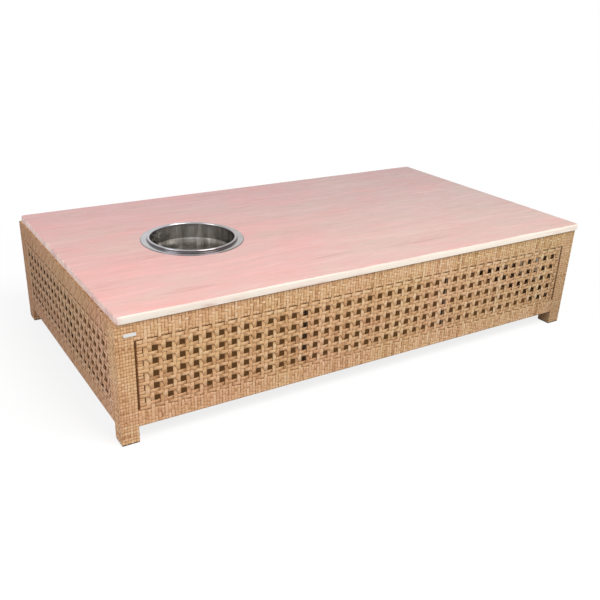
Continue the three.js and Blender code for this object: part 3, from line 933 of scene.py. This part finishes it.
def bucket(low, high, top, material):
    """Its rim is rolled outward on a short collar that stands on the flange. Heights start at the flange's
    top."""
    flange = (high[0] - low[0]) / 2
    floor = low[2] + BUCKET_WALL - top
    lean = math.atan2(MOUTH_RADIUS - FLOOR_RADIUS, -floor)
    fillet = (FLOOR_RADIUS - BUCKET_FILLET * math.tan((QUARTER_TURN - lean) / 2), floor + BUCKET_FILLET)
    bead = (MOUTH_RADIUS + BEAD_WIDTH / 2, RIM_RISE)
    foot = MOUTH_RADIUS + BEAD_WIDTH
    under = -GROOVE_DEPTH - BUCKET_WALL

    def wall(height):
        return MOUTH_RADIUS + (height / -floor) * (MOUTH_RADIUS - FLOOR_RADIUS)

    inside = [(radius, floor + rise) for radius, rise in FLOOR_DOME]
    inside += arc(fillet, BUCKET_FILLET, BUCKET_FILLET, -QUARTER_TURN, -lean, FILLET_STEPS)
    inside += [(wall(level) + STEP_WIDTH * out, level + STEP_WIDTH * rise) for level, out, rise in STEP]
    inside += arc(bead, BEAD_WIDTH / 2, BEAD_HEIGHT, math.pi, 0, BEAD_STEPS)
    inside += [(foot + out, height) for out, height in GROOVE]
    inside += [(flange - FLANGE_SHOULDER, -FLANGE_FALL)]
    edge = (flange - FLANGE_RISE, -FLANGE_RISE)
    inside += arc(edge, FLANGE_RISE, FLANGE_RISE * FLANGE_ROUND_SHARE, QUARTER_TURN, 0, FLANGE_STEPS)
    outside = [(flange - BUCKET_WALL, -FLANGE_RISE), (edge[0], under), (foot - BUCKET_WALL, under)]
    outside += arc(
        bead, BEAD_WIDTH / 2 - BUCKET_WALL, BEAD_HEIGHT - BUCKET_WALL, 0, math.pi, BEAD_UNDER_STEPS)
    outside += [(MOUTH_RADIUS + BUCKET_WALL, under)]
    outer_fillet = BUCKET_FILLET + BUCKET_WALL
    outside += arc(fillet, outer_fillet, outer_fillet, -lean, -QUARTER_TURN, FILLET_STEPS)
    outside += [(0.0, floor - BUCKET_WALL)]
    centre = (*((low + high)[:2] / 2), top)
    shell = lathed(centre, inside + outside, BUCKET_SEGMENTS)
    smooth_shell("steel_bucket", *shell, material, "steel", "bucket", "ice_bucket")


def stone_top(low, high, cut_centre, material):
    """Rings of points lead from the cut-out over the top, down the side, and under the slab back to it."""
    cut_radius = MOUTH_RADIUS + BUCKET_WALL + CUT_CLEARANCE
    centre, half = (low + high)[:2] / 2, (high - low)[:2] / 2
    corners = [(-1, -1, SLAB_SHARP_CORNER), (1, -1, SLAB_CORNER), (1, 1, SLAB_CORNER), (-1, 1, SLAB_CORNER)]

    def outline(inset, height):
        rounds = []
        for index, (side_x, side_y, radius) in enumerate(corners):
            turn_centre = (centre[0] + side_x * (half[0] - radius), centre[1] + side_y * (half[1] - radius))
            start = math.pi + index * QUARTER_TURN
            bend = radius - inset
            rounds.append(arc(turn_centre, bend, bend, start, start + QUARTER_TURN, SLAB_CORNER_STEPS))
        made = []
        for points, after in zip(rounds, rounds[1:] + rounds[:1]):
            made += points + list(np.linspace(points[-1], after[0], SLAB_EDGE_STEPS + 1)[1:-1])
        return [(x, y, height) for x, y in made]

    turns = [math.atan2(y - cut_centre[1], x - cut_centre[0]) for x, y, _ in outline(0.0, 0.0)]

    def cut(radius, height):
        return [(cut_centre[0] + radius * math.cos(turn), cut_centre[1] + radius * math.sin(turn), height)
                for turn in turns]

    rings = [cut(cut_radius, high[2] - SLAB_ARRIS), cut(cut_radius + SLAB_ARRIS, high[2]),
             cut(cut_radius + 2 * SLAB_ARRIS, high[2]), outline(SLAB_EASE + SLAB_ARRIS, high[2])]
    for ease, level, start, stop in ((SLAB_EASE, high[2] - SLAB_EASE, QUARTER_TURN, 0.0),
                                     (SLAB_LOWER_EASE, low[2] + SLAB_LOWER_EASE, 0.0, -QUARTER_TURN)):
        rings += [outline(ease - x, level + y)
                  for x, y in arc((0, 0), ease, ease, start, stop, SLAB_EASE_STEPS)]
    rings += [outline(SLAB_LOWER_EASE + SLAB_ARRIS, low[2]), cut(cut_radius + SLAB_ARRIS, low[2]),
              cut(cut_radius, low[2]), cut(cut_radius, low[2] + SLAB_ARRIS)]
    count = len(turns)
    faces = []
    for level in range(len(rings)):
        here, beyond = level * count, (level + 1) % len(rings) * count
        for index in range(count):
            after = (index + 1) % count
            faces.append((here + index, beyond + index, beyond + after, here + after))
    smooth_shell("stone_top", sum(rings, []), faces, material, "stone", "table", "stone_slab")


# The pieces

weave = weave_material()
for side in SIDES:
    cover_rail(side, "top", weave)
    cover_rail(side, "bottom", weave)
    cover_lattice(side, weave)
for leg in LEG_PLACES:
    cover_leg(leg, weave)

slab_low, slab_high = box("stone_slab")
bucket_low, bucket_high = box("ice_bucket")
bucket_centre = (bucket_low + bucket_high)[:2] / 2
flange_top = bucket_high[2] - BEAD_HEIGHT - RIM_RISE
stone_top(slab_low, slab_high, bucket_centre, stone_material(slab_low, slab_high))
steel = steel_material((*bucket_centre, flange_top), (bucket_high[0] - bucket_low[0]) / 2)
bucket(bucket_low, bucket_high, flange_top, steel)

tube = tube_material()
MOULDED = {
    "leg_glide": moulded_material("nylon_glide", (0.02, 0.019, 0.018), (0.05, 0.048, 0.045), 0.55, 700.0),
    "slab_pad": moulded_material("rubber_pad", (0.016, 0.016, 0.016), (0.04, 0.039, 0.038), 0.8, 1200.0),
    "blank_label": moulded_material("label_plate", (0.8, 0.79, 0.78), (0.88, 0.87, 0.86), 0.42, 500.0),
}
# Solids that no piece replaces are shown as they are
for name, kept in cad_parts.items():
    if not kept.hide_render:
        kept.data.materials.clear()
        kept.data.materials.append(
            next((finish for start, finish in MOULDED.items() if name.startswith(start)), tube))

# Floor, lights and camera

# The floor carries a painted shadow: dark brown under the table, and softer where it falls behind it and to
# its right. Everywhere else it turns to the backdrop's plain white. Each pair of values is for x and for y.
FLOOR_HALF = 14.0
SHADE_STARTS = (0.03, 0.085)
SHADE_SLANTS = (0.205, 0.735)
SHADE_REACHES = (1.2, 0.55)
SHADE_SOLID = 0.06
SHADE_EDGE = 0.035
SHADE_FLARE = 0.12
WHITE_NEAR_SHARE = 0.82
WHITE_STARTS = 1.1
WHITE_FULL = 2.0


def floor_material():
    """The painted shadow starts a little inside the legs, and past the table its edges slant."""
    floor = Coat("pale_floor")
    floor.tree.nodes.clear()
    place = floor.object_place()
    level = floor.split(place)[:2]
    past = [floor.maths("MAXIMUM", value - end, 0.0) for value, end in zip(level, legs_high)]
    fading = [floor.fade(value, SHADE_SOLID, reach) for value, reach in zip(past, SHADE_REACHES)]
    shade = fading[0] * fading[1]
    for value, low, beyond, start, slant in zip(level, legs_low, past[::-1], SHADE_STARTS, SHADE_SLANTS):
        inside = value - low - floor.maths("MAXIMUM", beyond * slant, start)
        shade = shade * floor.maths("DIVIDE", inside, beyond * SHADE_FLARE + SHADE_EDGE, clamp=True)
    # The painted shadow's colours, shown to camera and glossy rays as the floor's colour and as its glow.
    shown = floor.ramp(
        shade, (0.0, (1.0, 1.0, 1.0)), (0.2, (0.72, 0.7, 0.68)),
        (0.5, (0.3, 0.245, 0.2)), (0.8, (0.14, 0.088, 0.055)),
        (1.0, (0.116, 0.056, 0.021)))
    seen = floor.plainly_seen("Is Camera Ray", "Is Glossy Ray")
    matte = floor.add("ShaderNodeBsdfDiffuse", {"Color": floor.mix((0.42, 0.42, 0.42), shown, seen)})
    glow = floor.add("ShaderNodeEmission", {"Color": shown})
    distance = floor.vector("LENGTH", place, output="Value")
    white_share = floor.span(distance, WHITE_STARTS, WHITE_FULL, WHITE_NEAR_SHARE, 1.0) * seen
    floor.surface("ShaderNodeOutputMaterial", white_share, matte, glow)
    return floor.material


def studio_sky(world):
    """A soft cool sky lights the table, and is seen as plain white."""
    bpy.context.scene.world = world
    world.use_nodes = True
    sky = Nodes(world.node_tree)
    sky.tree.nodes.clear()
    soft = sky.add("ShaderNodeBackground", {"Color": (0.96, 0.98, 1.0), "Strength": 0.34})
    white = sky.add("ShaderNodeBackground", {"Color": (1.0, 1.0, 1.0)})
    seen = sky.plainly_seen("Is Camera Ray", "Is Glossy Ray", "Is Transmission Ray")
    sky.surface("ShaderNodeOutputWorld", seen, soft, white)


def soft_lamp(name, azimuth, elevation, reach, size, share, colour):
    """A square lamp that gives this share of plain light to a surface that faces it at the table."""
    light = bpy.data.lights.new(name, "AREA")
    light.size = size
    light.energy = share * math.pi ** 2 * reach ** 2
    light.color = colour
    lamp = add_object(name, light)
    turn, tilt = math.radians(azimuth), math.radians(elevation)
    back = Vector((math.sin(turn) * math.cos(tilt), -math.cos(turn) * math.cos(tilt), math.sin(tilt)))
    lamp.location = Vector(middle) + back * reach
    lamp.rotation_mode = "QUATERNION"
    lamp.rotation_quaternion = (-back).to_track_quat("-Z", "Y")


floor_mesh = bpy.data.meshes.new("floor")
floor_corners = [(x * FLOOR_HALF, y * FLOOR_HALF, 0) for x, y in ((-1, -1), (1, -1), (1, 1), (-1, 1))]
floor_mesh.from_pydata(floor_corners, [], [range(4)])
floor_mesh.materials.append(floor_material())
floor = add_object("floor", floor_mesh)

studio_sky(bpy.data.worlds.new("studio"))
soft_lamp("key", azimuth=18.0, elevation=52.0, reach=6.0, size=3.4, share=0.92, colour=(1.0, 0.985, 0.96))
soft_lamp("fill", azimuth=-80.0, elevation=30.0, reach=6.5, size=3.0, share=0.36, colour=(0.97, 0.98, 1.0))

# The camera that fits the photograph: its place, the directions of the picture's axes and its focal length
PICTURE = 600.0
FOCAL_PIXELS = 746.253
CENTRE_PIXELS = (284.697, 319.74)
TURN_VECTOR = (1.95594, -0.52771, 0.37465)
EYE = (-1.6138, -2.4659, 1.3595)
SENSOR = 36.0
camera = bpy.data.cameras.new("photograph")
camera.sensor_width = SENSOR
camera.lens = FOCAL_PIXELS / PICTURE * SENSOR
camera.shift_x = (PICTURE / 2 - CENTRE_PIXELS[0]) / PICTURE
camera.shift_y = (CENTRE_PIXELS[1] - PICTURE / 2) / PICTURE
eye = add_object("photograph", camera)
turn = Vector(TURN_VECTOR)
axes = Matrix.Rotation(turn.length, 3, turn.normalized())
right, down, forward = (Vector(axes[row]) for row in range(3))
eye.rotation_mode = "QUATERNION"
eye.rotation_quaternion = Matrix((right, -down, -forward)).transposed().to_quaternion()
eye.location = EYE
bpy.context.scene.camera = eye
bpy.context.scene.view_settings.view_transform = "Standard"
